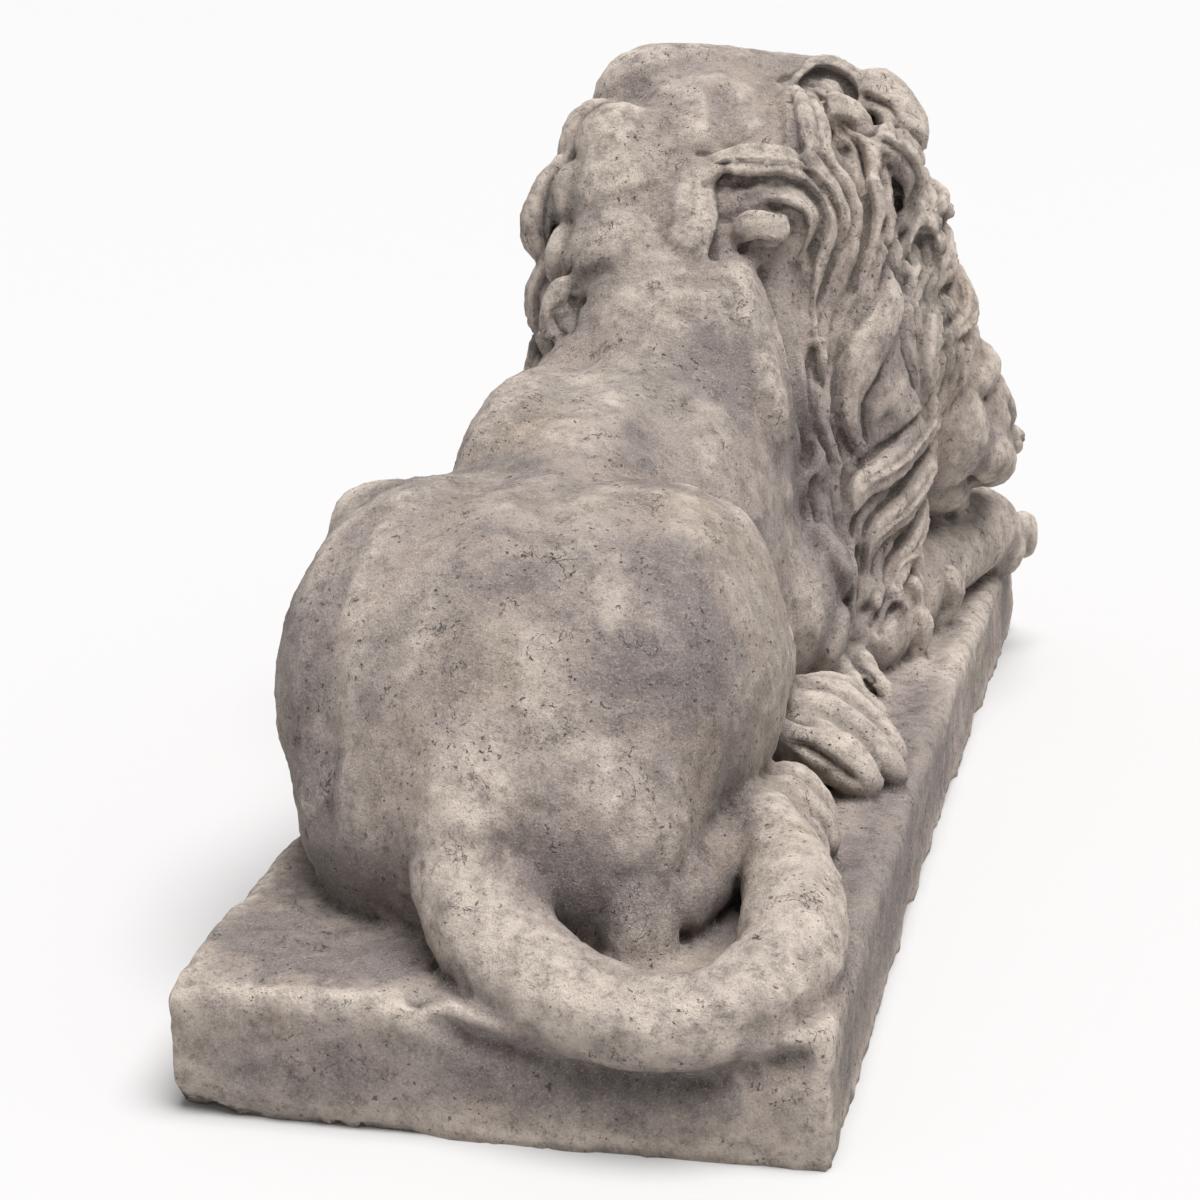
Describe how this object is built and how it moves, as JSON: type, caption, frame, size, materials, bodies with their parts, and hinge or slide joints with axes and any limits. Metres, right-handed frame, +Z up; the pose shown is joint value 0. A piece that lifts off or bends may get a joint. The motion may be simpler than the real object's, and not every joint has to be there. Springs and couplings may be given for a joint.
{
  "type": "lying lion statue",
  "caption": "Lying lion with its head turned to its right over a forepaw and its tail curled round the corner, on a low rectangular plinth, in one block of cast stone",
  "frame": {"origin": "middle of the plinth's underside", "axes": "+Z up; the plinth's length and the lion's body lie along Y, and the lion faces -Y, so that its own right side is -X"},
  "size_m": [0.4757, 1.1596, 0.5964],
  "materials": {
    "stone": "weathered cast stone, matt and finely pitted, warm grey-beige with darker recesses"
  },
  "bodies": {
    "root": {"lying_lion_statue": "stone"}
  },
  "joints": []
}
